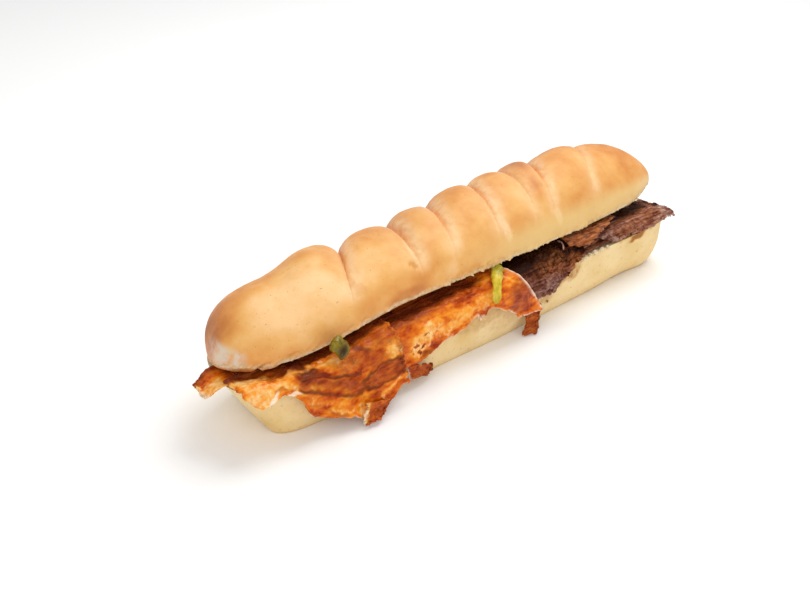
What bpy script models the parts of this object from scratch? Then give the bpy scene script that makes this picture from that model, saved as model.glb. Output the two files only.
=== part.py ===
"""Shawarma sandwich: a long lobed roll cut through lengthwise, with thin slices of
roast turkey and beef between the halves and two pieces of pickled chilli.

X runs along the roll, from the turkey end to the beef end. -Y is the open front, where the
meat hangs out, and +Z is up. The origin is at the middle of the flat underside. Metres.
"""

import math

import bmesh
import bpy
from mathutils import Vector

# Roll, lower half
BASE_START = -0.1500
BASE_END = 0.1485
BASE_HALF_WIDTH = 0.0278
BASE_HEIGHT = 0.029
BASE_UNDERCUT = 1.2
BASE_FACE_DIP = 0.0012
BASE_SKEW = 0.16
# Squareness of the turkey end and the beef end: seen from above, and along the bottom
BASE_BLUNTNESS = (15.0, 12.0)
BASE_CORNER = (60.0, 15.0)
# How softly the wall rounds into the underside, along X
BASE_ROUNDING = ((0.0, 0.34), (0.037, 0.58), (0.080, 0.85), (0.107, 1.2), (0.140, 0.6))
# How far the bottom of each end is tucked in, as a share of the place along X
TUCK = (0.110, 0.020)

# Roll, upper half
LID_START = -0.1495
LID_END = 0.1452
LID_HALF_WIDTH = 0.0285
LID_SHIFT = 0.004
LID_BULGE_HEIGHT = 0.008
LID_TILT = math.radians(6.0)
LID_BLUNTNESS = (8.0, 5.0)
LID_SKEW = 0.20
DOME_SHARE = 0.74

# Height of the upper half's cut edge at the front, along X
LID_EDGE = (
    (-0.150, 0.0368),
    (-0.125, 0.0368),
    (-0.105, 0.0380),
    (-0.085, 0.0400),
    (-0.050, 0.0430),
    (0.060, 0.0440),
    (0.150, 0.0432),
)
# Height of the dome above its cut, along X
DOME = (
    (-0.150, 0.0284),
    (-0.125, 0.0306),
    (-0.092, 0.0340),
    (-0.055, 0.0271),
    (-0.025, 0.0297),
    (0.005, 0.0332),
    (0.032, 0.0340),
    (0.080, 0.0357),
    (0.115, 0.0313),
    (0.150, 0.027),
)
# Creases across the dome: place along X at the crown, depth, and how far the crease leans along X
CREASES = (
    (-0.0730, 0.0112, 0.0160),
    (-0.0380, 0.0082, 0.0090),
    (-0.0140, 0.0074, 0.0120),
    (0.0155, 0.0062, 0.0110),
    (0.0395, 0.0040, 0.0080),
    (0.0580, 0.0074, 0.0140),
    (0.0940, 0.0032, 0.0170),
)
SOFT_DIP = (-0.1110, 0.0028, 0.012)

# Filling between the halves
PLATEAU = (
    (-0.150, 0.0312),
    (-0.110, 0.0316),
    (-0.085, 0.0325),
    (-0.050, 0.0338),
    (0.0, 0.0350),
    (0.060, 0.0362),
    (0.100, 0.0352),
    (0.130, 0.0335),
    (0.150, 0.0318),
)
# How far out the slices turn down over the front rim, along X
RIM = ((-0.152, 0.0262), (-0.130, 0.0272), (-0.090, 0.0279), (0.100, 0.0279), (0.150, 0.0250))
TURKEY_PILE = (-0.1425, 0.0055)
BEEF_PILE = (0.0065, 0.1370)
WALL_GAP = 0.0005
LAYER_GAP = 0.0004

TURKEY_THICKNESS = 0.0020
BEEF_THICKNESS = 0.0022
CURL_THICKNESS = 0.0018
SCRAP_THICKNESS = 0.0018
TIP_THICKNESS = 0.0014
CURL_LIFT = 0.0043

COLLECTION_NAME = "shawarma_sandwich"


def clear_scene():
    for obj in list(bpy.data.objects):
        bpy.data.objects.remove(obj)


def material(name, color, roughness):
    made = bpy.data.materials.new(name)
    made.use_nodes = True
    shader = made.node_tree.nodes["Principled BSDF"]
    shader.inputs["Base Color"].default_value = (*color, 1.0)
    shader.inputs["Roughness"].default_value = roughness
    return made


def along(x, points):
    """Value at x of the smooth line through (x, value) points, level beyond its ends."""
    if x <= points[0][0]:
        return points[0][1]
    if x >= points[-1][0]:
        return points[-1][1]
    slopes = [(b[1] - a[1]) / (b[0] - a[0]) for a, b in zip(points, points[1:])]
    place = next(i for i, b in enumerate(points[1:]) if x < b[0])
    (x0, low), (x1, high) = points[place], points[place + 1]

    def slope_at(i):
        if i == 0 or i == len(points) - 1:
            return 0.0
        before, after = slopes[i - 1], slopes[i]
        return 0.0 if before * after <= 0 else 2 * before * after / (before + after)

    width = x1 - x0
    t = (x - x0) / width
    return (
        low * (2 * t**3 - 3 * t**2 + 1)
        + slope_at(place) * width * (t**3 - 2 * t**2 + t)
        + high * (3 * t**2 - 2 * t**3)
        + slope_at(place + 1) * width * (t**3 - t**2)
    )


def ease(t):
    t = min(1.0, max(0.0, t))
    return t * t * (3 - 2 * t)


def mix(a, b, t):
    return a + (b - a) * t


def share_between(x, start, end):
    """Place of x on a piece: -1 at its start, 0 in the middle, 1 at its end."""
    return max(-1.0, min(1.0, (2 * x - start - end) / (end - start)))


def rounded(share, sharpness, fullness):
    """Part of the full size that is left at a share of the half length, as on a superellipse."""
    return max(0.0, 1 - abs(share) ** sharpness) ** (1 / fullness)


def spread(start, end, count):
    """Places from start to end, closest together at both."""
    return [start + (end - start) * (1 - math.cos(math.pi * i / count)) / 2 for i in range(count + 1)]


def shaped_ball(name, stations, around, place):
    """A sphere whose rings are moved to the stations, each point put where place says."""
    mesh = bpy.data.meshes.new(name)
    ball = bmesh.new()
    rings = len(stations) - 1
    bmesh.ops.create_uvsphere(ball, u_segments=around, v_segments=rings, radius=1.0)
    for vert in ball.verts:
        ring = round(math.acos(max(-1.0, min(1.0, vert.co.z))) / math.pi * rings)
        turn = (math.atan2(vert.co.y, vert.co.x) / math.tau) % 1.0
        vert.co = place(stations[ring], turn)
    bmesh.ops.recalc_face_normals(ball, faces=ball.faces)
    if ball.calc_volume(signed=True) < 0:
        bmesh.ops.reverse_faces(ball, faces=ball.faces)
    ball.to_mesh(mesh)
    ball.free()
    mesh.shade_smooth()
    mesh.set_sharp_from_angle(angle=math.radians(50))
    return bpy.data.objects.new(name, mesh)


# Lower half of the roll


def base_width(x):
    share = share_between(x, BASE_START, BASE_END)
    return BASE_HALF_WIDTH * rounded(share, BASE_BLUNTNESS[share >= 0], 2.5)


def base_point(x, turn):
    """Lower half: turn 0 to 0.5 runs over the cut face, 0.5 to 1 under the crust."""
    share = share_between(x, BASE_START, BASE_END)
    width = base_width(x)
    depth = BASE_HEIGHT * min(1.0, 1.03 * rounded(share, BASE_CORNER[share >= 0], 2.5))
    angle = math.tau * turn
    across, down = math.cos(angle), max(0.0, -math.sin(angle))
    if turn <= 0.5:
        y = width * across
        z = BASE_HEIGHT - BASE_FACE_DIP * math.sin(angle) ** 2
        tucked = x
    else:
        y = width * math.copysign(abs(across) ** along(x, BASE_ROUNDING), across)
        z = max(BASE_HEIGHT - depth, BASE_HEIGHT - BASE_UNDERCUT * depth * down**0.55)
        tucked = x * (1 - TUCK[x > 0] * (1 - z / BASE_HEIGHT) * share**4)
    return Vector((tucked + BASE_SKEW * y * max(0.0, -share) ** 7, y, z))


def roll_base():
    return shaped_ball("roll_base", spread(BASE_START, BASE_END, 32), 26, base_point)


# Upper half of the roll


def crease_line(x):
    """(depth of the skin below the lobes, lean of the ring along X) at a ring's place along X."""
    marks = [(LID_START, 0.0, 0.0), *CREASES, (LID_END, 0.0, 0.0)]
    sunk = 0.0
    for left, right in zip(marks, marks[1:]):
        if left[0] <= x <= right[0]:
            across = share_between(x, left[0], right[0])
            dome = max(0.0, 1 - abs(across) ** 2.3) ** 0.5
            sunk = (left[1] if across < 0 else right[1]) * (1 - dome)
    place, depth, width = SOFT_DIP
    sunk += depth * math.exp(-(((x - place) / width) ** 2))
    return sunk, along(x, [(mark[0], mark[2]) for mark in marks])


def lid_plane(x, y):
    """Height of the upper half's cut face."""
    return along(x, LID_EDGE) - math.tan(LID_TILT) * (y - LID_SHIFT + LID_HALF_WIDTH)


def lid_point(station, turn):
    """Upper half: the first share of the turn is the dome, front to back, the rest its cut face."""
    share = share_between(station, LID_START, LID_END)
    width = LID_HALF_WIDTH * rounded(share, LID_BLUNTNESS[share >= 0], 2.4)
    height = along(station, DOME) * rounded(share, 9.0, 2.4)
    bulge = LID_BULGE_HEIGHT * min(1.0, height / 0.02)
    radius = max(1e-6, height - bulge)
    low = math.asin(min(0.9, bulge / radius)) if height > 0.002 else 0.0
    sunk, lean = crease_line(station)
    if turn < DOME_SHARE:
        angle = -low + (math.pi + 2 * low) * turn / DOME_SHARE
        fade = ease(math.degrees(angle) / 80) * (1 - 0.5 * ease((math.degrees(angle) - 130) / 50))
        shrink = 1 - sunk * fade / max(radius, 0.01)
        across = -math.cos(angle) * mix(1, shrink, 0.8)
        up = bulge + radius * math.sin(angle) * (shrink if angle > 0 else 1.0)
    else:
        across = math.cos(low) * math.cos(math.pi * (turn - DOME_SHARE) / (1 - DOME_SHARE))
        up = 0.0
    y = width * across * math.cos(LID_TILT) + up * math.sin(LID_TILT)
    z = up * math.cos(LID_TILT) - width * across * math.sin(LID_TILT)
    x = station + lean * across + LID_SKEW * y * max(0.0, -share) ** 7
    centre = along(x, LID_EDGE) - LID_HALF_WIDTH * math.sin(LID_TILT)
    return Vector((x, LID_SHIFT + y, centre + z))


def lid_stations():
    """Rings crowded at both ends and at every crease."""
    places = [crease[0] for crease in CREASES]
    stations = spread(LID_START, 2 * places[0] - LID_START, 26)[:13]
    stations.append(places[0])
    for left, right in zip(places, places[1:]):
        stations += spread(left, right, 8)[1:]
    stations += spread(2 * places[-1] - LID_END, LID_END, 20)[11:]
    return stations


def roll_lid():
    return shaped_ball("roll_lid", lid_stations(), 30, lid_point)


# Filling: the piles of slices that run through the roll


def shoulder(x):
    """Where the filling turns down at the front: (y, height, radius)."""
    top = along(x, PLATEAU)
    radius = max(0.0035, top - BASE_HEIGHT + 0.0012)
    return -(along(x, RIM) + WALL_GAP) + radius, top, radius


def rim_height(x, y):
    """Height of the filling's upper side under the slices that hang out at the front."""
    start, top, radius = shoulder(x)
    if y >= start:
        return top - math.tan(LID_TILT) * (y - start)
    reach = min(0.95, (start - y) / radius)
    return top - radius * (1 - math.sqrt(1 - reach * reach))


def pile_top(x, y):
    """Up to the lid at the back, and lower at the front, where slices lie on the pile."""
    under_lid = lid_plane(x, y) - LAYER_GAP
    under_slices = rim_height(x, y) - LAYER_GAP
    inner = ease((y + 0.006) / 0.008) * (1 - ease((abs(x) - 0.122) / 0.012))
    return min(under_lid, mix(under_slices, under_lid, inner))


def pile(name, ends, rings):
    start, end = ends

    def place(x, turn):
        share = share_between(x, start, end)
        width = base_width(x)
        wave = 0.0010 * math.sin(x * 210) + 0.0008 * math.sin(x * 97 + 1.0)
        front, back = 0.0012 - width, width + 0.0012 + wave
        angle = math.tau * turn
        reach = math.cos(angle) * max(0.02, rounded(share, 14.0, 2.0))
        y = mix(front, back, (1 + reach) / 2)
        floor = BASE_HEIGHT + LAYER_GAP
        ceiling = max(floor + 0.0006, pile_top(x, y))
        height = math.copysign(abs(math.sin(angle)) ** 0.5, math.sin(angle)) * rounded(share, 24.0, 2.0)
        return Vector((x, y, mix(floor, ceiling, (1 + height) / 2)))

    return shaped_ball(name, spread(start, end, rings), 20, place)


# Slices


def draped(x, s, lift, bend):
    """Point at arc length s on a path over the filling's shoulder, lifted off it, that ends at a slope."""
    y, z, radius = shoulder(x)
    radius += lift
    z += lift
    if s < 0:
        return Vector((x, y - s * math.cos(LID_TILT), z + s * math.sin(LID_TILT)))
    turned = min(s / radius, bend + LID_TILT)
    slope = turned - LID_TILT
    rest = s - turned * radius
    y -= radius * (math.sin(slope) + math.sin(LID_TILT)) + rest * math.cos(slope)
    z -= radius * (math.cos(LID_TILT) - math.cos(slope)) + rest * math.sin(slope)
    return Vector((x, y, z))


def reach_to(x, height, lift, bend):
    """Arc length at which the draped path comes down to a height."""
    _, z, radius = shoulder(x)
    radius += lift
    drop = z + lift - height
    turn_drop = radius * (math.cos(LID_TILT) - math.cos(bend))
    if drop > turn_drop:
        return radius * (bend + LID_TILT) + (drop - turn_drop) / math.sin(bend)
    return radius * (math.acos(max(-1.0, min(1.0, math.cos(LID_TILT) - drop / radius))) + LID_TILT)


def sheet(name, cells, thickness, place):
    """A thin solid: a grid moved by place(u, v), split into triangles and thickened."""
    mesh = bpy.data.meshes.new(name)
    grid = bmesh.new()
    bmesh.ops.create_grid(grid, x_segments=cells[0], y_segments=cells[1], size=0.5)
    for vert in grid.verts:
        vert.co = place(vert.co.x + 0.5, vert.co.y + 0.5)
    bmesh.ops.triangulate(grid, faces=grid.faces)
    grid.to_mesh(mesh)
    grid.free()
    mesh.shade_smooth()
    obj = bpy.data.objects.new(name, mesh)
    shell = obj.modifiers.new("thickness", "SOLIDIFY")
    shell.thickness = thickness
    shell.offset = 0.0
    return obj


def drape_sheet(name, cells, thickness, left, right, inner, outer, lift, bend, ripple=0.0):
    """A slice over the shoulder. left and right give X at the inner and at the outer edge."""

    def place(u, v):
        x = mix(mix(left[0], left[1], v), mix(right[0], right[1], v), u)
        off = along(x, lift) + thickness / 2
        off += ripple * ease(v * 1.6) * (0.5 - 0.5 * math.cos(x * 330))
        slope = math.radians(along(x, bend))
        end = reach_to(x, along(x, outer), off, slope)
        return draped(x, mix(inner, end, v), off, slope)

    return sheet(name, cells, thickness, place)


def turkey_front():
    lower_edge = (
        (-0.1545, 0.0316),
        (-0.1520, 0.0306),
        (-0.1470, 0.0264),
        (-0.1435, 0.0262),
        (-0.1372, 0.0272),
        (-0.1314, 0.0263),
        (-0.1268, 0.0226),
        (-0.1246, 0.0168),
        (-0.1197, 0.0119),
        (-0.1139, 0.0092),
        (-0.1066, 0.0076),
        (-0.1018, 0.0058),
        (-0.0980, 0.0042),
        (-0.0843, 0.0050),
        (-0.0714, 0.0108),
    )
    slope = ((-0.150, 62), (-0.130, 70), (-0.118, 76), (-0.100, 70), (-0.082, 73), (-0.066, 80))
    return drape_sheet(
        "turkey_front",
        cells=(32, 11),
        thickness=TURKEY_THICKNESS,
        left=(-0.1520, -0.1530),
        right=(-0.0715, -0.0690),
        inner=-0.0135,
        outer=lower_edge,
        lift=((-0.150, 0.0012), (-0.140, 0.0004), (-0.085, 0.0004), (-0.076, 0.0030)),
        bend=slope,
        ripple=0.0014,
    )


def turkey_middle():
    lower_edge = (
        (-0.0740, 0.0140),
        (-0.0560, 0.0145),
        (-0.0480, 0.0165),
        (-0.0400, 0.0195),
        (-0.0300, 0.0205),
        (-0.0220, 0.0235),
        (-0.0135, 0.0250),
        (-0.0087, 0.0263),
        (-0.0007, 0.0226),
        (0.0076, 0.0172),
        (0.0152, 0.0142),
        (0.0270, 0.0136),
    )
    return drape_sheet(
        "turkey_middle",
        cells=(30, 8),
        thickness=TURKEY_THICKNESS,
        left=(-0.0720, -0.0735),
        right=(0.0000, 0.0268),
        inner=-0.008,
        outer=lower_edge,
        lift=((-0.012, 0.0004), (-0.003, 0.0029)),
        bend=((-0.070, 84), (0.0, 88)),
        ripple=0.0003,
    )


def beef_front():
    lower_edge = (
        (0.0000, 0.0230),
        (0.0200, 0.0205),
        (0.0250, 0.0187),
        (0.0335, 0.0187),
        (0.0395, 0.0203),
        (0.0430, 0.0235),
        (0.0483, 0.0262),
        (0.0520, 0.0300),
        (0.0598, 0.0312),
        (0.0640, 0.0335),
    )
    return drape_sheet(
        "beef_front",
        cells=(22, 8),
        thickness=BEEF_THICKNESS,
        left=(-0.0005, 0.0020),
        right=(0.0640, 0.0630),
        inner=-0.008,
        outer=lower_edge,
        lift=((0.0, 0.0004), (0.06, 0.0004)),
        bend=((0.0, 89), (0.06, 86)),
    )


def beef_curl():
    outer_edge = (
        (0.0520, 0.0078),
        (0.0575, 0.0100),
        (0.0660, 0.0106),
        (0.0760, 0.0072),
        (0.0870, 0.0036),
        (0.0985, -0.0020),
    )

    def place(u, v):
        x = mix(mix(0.0560, 0.0520, v), mix(0.0960, 0.0985, v), u)
        reach = mix(-0.0130, along(x, outer_edge), v)
        return draped(x, reach, CURL_LIFT + 0.0004 * v, math.radians(70))

    return sheet("beef_curl", (12, 6), CURL_THICKNESS, place)


def beef_end():
    front_edge = (
        (0.0680, -0.0225),
        (0.0755, -0.0245),
        (0.0840, -0.0275),
        (0.0940, -0.0292),
        (0.1120, -0.0292),
        (0.1240, -0.0285),
        (0.1350, -0.0262),
        (0.1455, -0.0250),
    )
    back_edge = ((0.068, -0.0140), (0.120, -0.0090), (0.149, 0.0010))

    def place(u, v):
        x = mix(0.0675, 0.1452, u)
        y = mix(along(x, back_edge), along(x, front_edge), v)
        droop = 0.0022 * ease((x - 0.130) / 0.015)
        return Vector((x, y, rim_height(x, y) + LAYER_GAP + BEEF_THICKNESS / 2 - droop))

    return sheet("beef_end", (20, 7), BEEF_THICKNESS, place)


def turkey_tip():
    """Sticks out past the roll's end and sags, lower at the front, where the big slice covers it."""

    def place(u, v):
        x_end = mix(-0.1590, -0.1618, math.sin(math.pi * mix(0.15, 0.75, v)))
        y_back, y_front = 0.0053 - 0.0035 * u * u, -0.0112 + 0.0032 * u * u
        sag = 0.0030 * ease((u - 0.4) / 0.6) - 0.0006 * ease(u / 0.4)
        return Vector((mix(-0.1432, x_end, u), mix(y_back, y_front, v), mix(0.0311, 0.0294, v) - sag))

    return sheet("turkey_tip", (9, 5), TIP_THICKNESS, place)


def turkey_flap():
    def place(u, v):
        x = mix(-0.0965 + 0.0135 * u, -0.0995 + 0.0115 * u, v)
        z = mix(0.0120 - 0.0030 * u, 0.0016 + 0.0018 * u, v)
        y = -0.0405 - 0.0020 * v - 0.0010 * math.sin(math.pi * u)
        return Vector((x, y, z))

    return sheet("turkey_flap", (5, 5), TURKEY_THICKNESS, place)


def turkey_scrap():
    def place(u, v):
        x = mix(-0.0635, -0.0475, u)
        z = mix(0.0138 - 0.0050 * u, 0.0062 - 0.0010 * u, v)
        y = -0.0302 - 0.0010 * math.sin(math.pi * u) - 0.0010 * v
        return Vector((x, y, z))

    return sheet("turkey_scrap", (6, 4), SCRAP_THICKNESS, place)


def beef_strip():
    def place(u, v):
        x = mix(0.0205 + 0.0095 * u, 0.0150 + 0.0070 * u, v)
        y = mix(-0.0296, -0.0318 - 0.0035 * u, v)
        return Vector((x, y, mix(0.0138, 0.0012, v)))

    return sheet("beef_strip", (4, 6), SCRAP_THICKNESS, place)


# Pickled chilli and sinew


def strip_over(name, rings, around, path, half_width, half_height, fullness, taper=1.0):
    """A rounded strip along path(t), which gives a point and the way off the surface there."""

    def place(t, turn):
        centre, off = path(t)
        ahead = path(min(1.0, t + 0.05))[0] - path(max(0.0, t - 0.05))[0]
        side = ahead.cross(off).normalized()
        size = rounded(2 * t - 1, fullness, 2.0) * mix(1.0, taper, t)
        angle = math.tau * turn
        return centre + (side * half_width * math.cos(angle) + off * half_height * math.sin(angle)) * size

    return shaped_ball(name, spread(0.0, 1.0, rings), around, place)


def drape_path(x_line, s_line, lift, slope, bow=0.0, hook=1.0):
    """Path over the shoulder from one X and arc length to another, bowed along X or hooked at its start."""

    def path(t):
        x = mix(*x_line, t**hook) + bow * math.sin(math.pi * t)
        s = mix(*s_line, t)
        here = draped(x, s, lift, slope)
        off = draped(x, s, lift + 0.001, slope) - here
        return here, off.normalized()

    return path


def chilli_right():
    path = drape_path((0.0048, -0.0112), (0.0022, 0.0200), 0.0072, math.radians(84), hook=0.6)
    return strip_over("chilli_right", 14, 12, path, 0.0031, 0.0016, 10.0, taper=0.62)


def chilli_left():
    top, bottom = Vector((-0.1062, -0.0289, 0.0442)), Vector((-0.1008, -0.0328, 0.0362))
    outward = Vector((0, -0.75, 0.65)).normalized()
    return strip_over("chilli_left", 10, 12, lambda t: (top.lerp(bottom, t), outward), 0.0043, 0.0028, 9.0)


def sinew():
    path = drape_path((0.0512, 0.0478), (-0.0010, 0.0070), 0.0037, math.radians(86), bow=0.0014)
    return strip_over("sinew", 10, 6, path, 0.0005, 0.0005, 12.0)


def build():
    clear_scene()
    collection = bpy.data.collections.new(COLLECTION_NAME)
    bpy.context.scene.collection.children.link(collection)
    crust = material("roll_crust", (0.86, 0.55, 0.24), 0.6)
    pale_crust = material("pale_crust", (0.84, 0.66, 0.38), 0.65)
    turkey = material("roast_turkey", (0.62, 0.20, 0.05), 0.4)
    beef = material("roast_beef", (0.15, 0.06, 0.035), 0.5)
    chilli = material("pickled_chilli", (0.33, 0.33, 0.03), 0.2)
    fat = material("sinew", (0.70, 0.55, 0.45), 0.4)
    pieces = (
        (roll_base(), pale_crust),
        (roll_lid(), crust),
        (pile("turkey_pile", TURKEY_PILE, 28), turkey),
        (pile("beef_pile", BEEF_PILE, 24), beef),
        (turkey_front(), turkey),
        (turkey_middle(), turkey),
        (turkey_tip(), turkey),
        (turkey_flap(), turkey),
        (turkey_scrap(), turkey),
        (beef_front(), beef),
        (beef_end(), beef),
        (beef_curl(), beef),
        (beef_strip(), beef),
        (sinew(), fat),
        (chilli_left(), chilli),
        (chilli_right(), chilli),
    )
    for obj, finish in pieces:
        obj.data.materials.append(finish)
        collection.objects.link(obj)


build()
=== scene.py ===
"""Looks of the shawarma sandwich: every CAD solid is replaced by a finer skin of the same form,
with the baked crust, meat fibres, folds and pickled chilli that show up close. Metres."""

import math
from functools import partial

import bmesh
import bpy
import numpy as np
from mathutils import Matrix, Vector, noise


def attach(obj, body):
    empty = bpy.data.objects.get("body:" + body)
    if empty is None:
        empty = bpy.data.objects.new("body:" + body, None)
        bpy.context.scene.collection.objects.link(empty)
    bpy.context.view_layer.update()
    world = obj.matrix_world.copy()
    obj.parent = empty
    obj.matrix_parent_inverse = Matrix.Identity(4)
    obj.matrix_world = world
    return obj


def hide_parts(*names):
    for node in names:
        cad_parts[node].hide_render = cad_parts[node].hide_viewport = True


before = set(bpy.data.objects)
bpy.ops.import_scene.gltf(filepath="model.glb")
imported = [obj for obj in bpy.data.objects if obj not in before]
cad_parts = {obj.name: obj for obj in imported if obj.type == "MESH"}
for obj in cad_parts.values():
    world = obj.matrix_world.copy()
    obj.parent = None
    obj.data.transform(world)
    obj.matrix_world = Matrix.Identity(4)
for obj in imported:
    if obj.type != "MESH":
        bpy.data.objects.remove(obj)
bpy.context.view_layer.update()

MM = 0.001
SMOOTH = {"interpolation_type": "SMOOTHSTEP"}  # setting of a MapRange node

# Photograph
PHOTO_WIDTH = 810
FOCAL_PIXELS = 1100
CAMERA_PLACE = Vector((-0.3524, -0.3694, 0.2995))
CAMERA_AZIMUTH = math.radians(49.7)
CAMERA_PITCH = math.radians(29.5)

# Roll, lower half
BASE_START, BASE_END = -0.15, 0.1485
BASE_HALF_WIDTH = 0.0278
BASE_HEIGHT = 0.029
BASE_UNDERCUT = 1.2
BASE_WALL_CURVE = 0.55
BASE_FACE_DIP = 0.0012
BASE_BLUNTNESS = (15, 12)
BASE_CORNER = (60, 15)
BASE_ROUNDING = ((0, 0.34), (0.037, 0.58), (0.08, 0.85), (0.107, 1.2), (0.14, 0.6))
BASE_SKEW = 0.16
TUCK_LEFT, TUCK_RIGHT = 0.11, 0.02

# Roll, upper half
LID_START, LID_END = -0.1495, 0.1452
LID_HALF_WIDTH = 0.0285
LID_SHIFT = 0.004
LID_BULGE_HEIGHT = 0.008
LID_TILT = math.radians(6.0)
LID_BLUNTNESS = (8, 5)
LID_SKEW = 0.2
DOME_SHARE = 0.74
LID_EDGE = (
    (-0.15, 0.0368), (-0.125, 0.0368), (-0.105, 0.038), (-0.085, 0.04), (-0.05, 0.043), (0.06, 0.044),
    (0.15, 0.0432),
)
DOME = (
    (-0.15, 0.0284), (-0.125, 0.0306), (-0.092, 0.034), (-0.055, 0.0271), (-0.025, 0.0297),
    (0.005, 0.0332), (0.032, 0.034), (0.08, 0.0357), (0.115, 0.0313), (0.15, 0.027),
)
PLAIN_CREASE = 0.0395  # the one crease without pale stretched dough beside it
# Creases across the dome: place along X at the crown, depth, and lean along X
CREASES = (
    (-0.073, 0.0112, 0.016), (-0.038, 0.0082, 0.009), (-0.014, 0.0074, 0.012), (0.0155, 0.0062, 0.011),
    (PLAIN_CREASE, 0.004, 0.008), (0.058, 0.0074, 0.014), (0.094, 0.0032, 0.017),
)
SOFT_DIP = (-0.111, 0.0028, 0.012)

# Filling
PLATEAU = (
    (-0.15, 0.0312), (-0.11, 0.0316), (-0.085, 0.0325), (-0.05, 0.0338), (0, 0.035),
    (0.06, 0.0362), (0.1, 0.0352), (0.13, 0.0335), (0.15, 0.0318),
)
RIM = ((-0.152, 0.0262), (-0.13, 0.0272), (-0.09, 0.0279), (0.1, 0.0279), (0.15, 0.025))
TURKEY_PILE = (-0.1425, 0.0055)
BEEF_PILE = (0.0065, 0.137)
WALL_GAP = 0.0005
LAYER_GAP = 0.0004
TURKEY_THICKNESS = 0.002
BEEF_THICKNESS = 0.0022
SCRAP_THICKNESS = 0.0018
TIP_THICKNESS = 0.0014
CURL_LIFT = 0.0043


def srgb(hex_colour):
    """Linear colour of an sRGB hex value."""
    channels = [int(hex_colour[i : i + 2], 16) / 255 for i in (1, 3, 5)]
    return (*(c / 12.92 if c <= 0.04045 else ((c + 0.055) / 1.055) ** 2.4 for c in channels), 1.0)


def along(x, points):
    """Value at x of the smooth line through (x, value) points, level beyond its ends."""
    places, values = np.array(points, float).T
    gaps = np.diff(places)
    slopes = np.diff(values) / gaps
    turning = slopes[:-1] * slopes[1:] <= 0
    total = np.where(turning, 1.0, slopes[:-1] + slopes[1:])
    inner = np.where(turning, 0.0, 2 * slopes[:-1] * slopes[1:] / total)
    tangents = np.concatenate([[0.0], inner, [0.0]])
    x = np.clip(x, places[0], places[-1])
    i = np.clip(np.searchsorted(places, x) - 1, 0, len(gaps) - 1)
    t = (x - places[i]) / gaps[i]
    return (
        values[i] * (2 * t**3 - 3 * t**2 + 1)
        + tangents[i] * gaps[i] * (t**3 - 2 * t**2 + t)
        + values[i + 1] * (3 * t**2 - 2 * t**3)
        + tangents[i + 1] * gaps[i] * (t**3 - t**2)
    )


def ease(t):
    t = np.clip(t, 0.0, 1.0)
    return t * t * (3 - 2 * t)


def mix(a, b, t):
    return a + (b - a) * t


def bell(t):
    return np.exp(-t * t)


def grid(rows, columns):
    """Shares from 0 to 1 down and across a grid of points."""
    return np.linspace(0, 1, rows)[:, None], np.linspace(0, 1, columns)[None, :]


def share_between(x, start, end):
    return np.clip((2 * x - start - end) / (end - start), -1.0, 1.0)


def rounded(share, sharpness, fullness):
    return np.maximum(0.0, 1 - np.abs(share) ** sharpness) ** (1 / fullness)


def spread(start, end, count):
    """count + 1 places from start to end, closer together at both."""
    steps = np.linspace(0, 1, count + 1)
    return start + (end - start) * mix(steps, (1 - np.cos(math.pi * steps)) / 2, 0.75)


def stack(x, y, z):
    return np.stack(np.broadcast_arrays(x, y, z), axis=-1).astype(float)


def grain(points, size, octaves=3, stretch=(1, 1, 1), seed=0.0):
    """Fractal noise about 0 at each point, its lumps of that size in metres, drawn out by stretch."""
    scaled = points.reshape(-1, 3) / (size * np.array(stretch)) + seed
    values = [noise.fractal(p, 0.6, 2.0, octaves) for p in scaled.tolist()]
    return np.array(values).reshape(points.shape[:-1])


def outward(points, wrapped):
    """Unit normals of a grid of points."""
    if wrapped:
        padded = np.concatenate([points[:, -1:], points, points[:, :1]], axis=1)
        around = np.gradient(padded, axis=1)[:, 1:-1]
    else:
        around = np.gradient(points, axis=1)
    normals = np.cross(np.gradient(points, axis=0), around)
    return normals / np.maximum(np.linalg.norm(normals, axis=-1, keepdims=True), 1e-12)


def mesh_piece(name, verts, faces, masks):
    mesh = bpy.data.meshes.new(name)
    mesh.from_pydata(verts.tolist(), [], faces)
    for mask, values in masks.items():
        attribute = mesh.attributes.new(mask, "FLOAT", "POINT")
        attribute.data.foreach_set("value", np.asarray(values, np.float32).ravel())
    solid = bmesh.new()
    solid.from_mesh(mesh)
    if solid.calc_volume(signed=True) < 0:
        bmesh.ops.reverse_faces(solid, faces=solid.faces)
        solid.to_mesh(mesh)
    solid.free()
    mesh.shade_smooth()
    piece = bpy.data.objects.new(name, mesh)
    bpy.context.scene.collection.objects.link(piece)
    return piece


def closed_skin(name, rings, **masks):
    """A closed surface from rings of points; the first and last ring shrink to one point each."""
    count, around = rings.shape[:2]
    verts = np.concatenate([[rings[0].mean(axis=0)], rings[1:-1].reshape(-1, 3), [rings[-1].mean(axis=0)]])
    first = 1 + np.arange(count - 2)[:, None] * around
    here = np.arange(around)
    ahead = (here + 1) % around
    last = len(verts) - 1
    quads = np.stack(
        [first[:-1] + here, first[1:] + here, first[1:] + ahead, first[:-1] + ahead], axis=-1
    ).reshape(-1, 4)
    faces = [(0, 1 + a, 1 + b) for a, b in zip(here, ahead)] + quads.tolist()
    faces += [(last, last - around + b, last - around + a) for a, b in zip(here, ahead)]
    flat = {}
    for mask, values in masks.items():
        values = np.broadcast_to(values, (count, around))
        flat[mask] = np.concatenate([[values[0].mean()], values[1:-1].ravel(), [values[-1].mean()]])
    return mesh_piece(name, verts, faces, flat)


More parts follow.
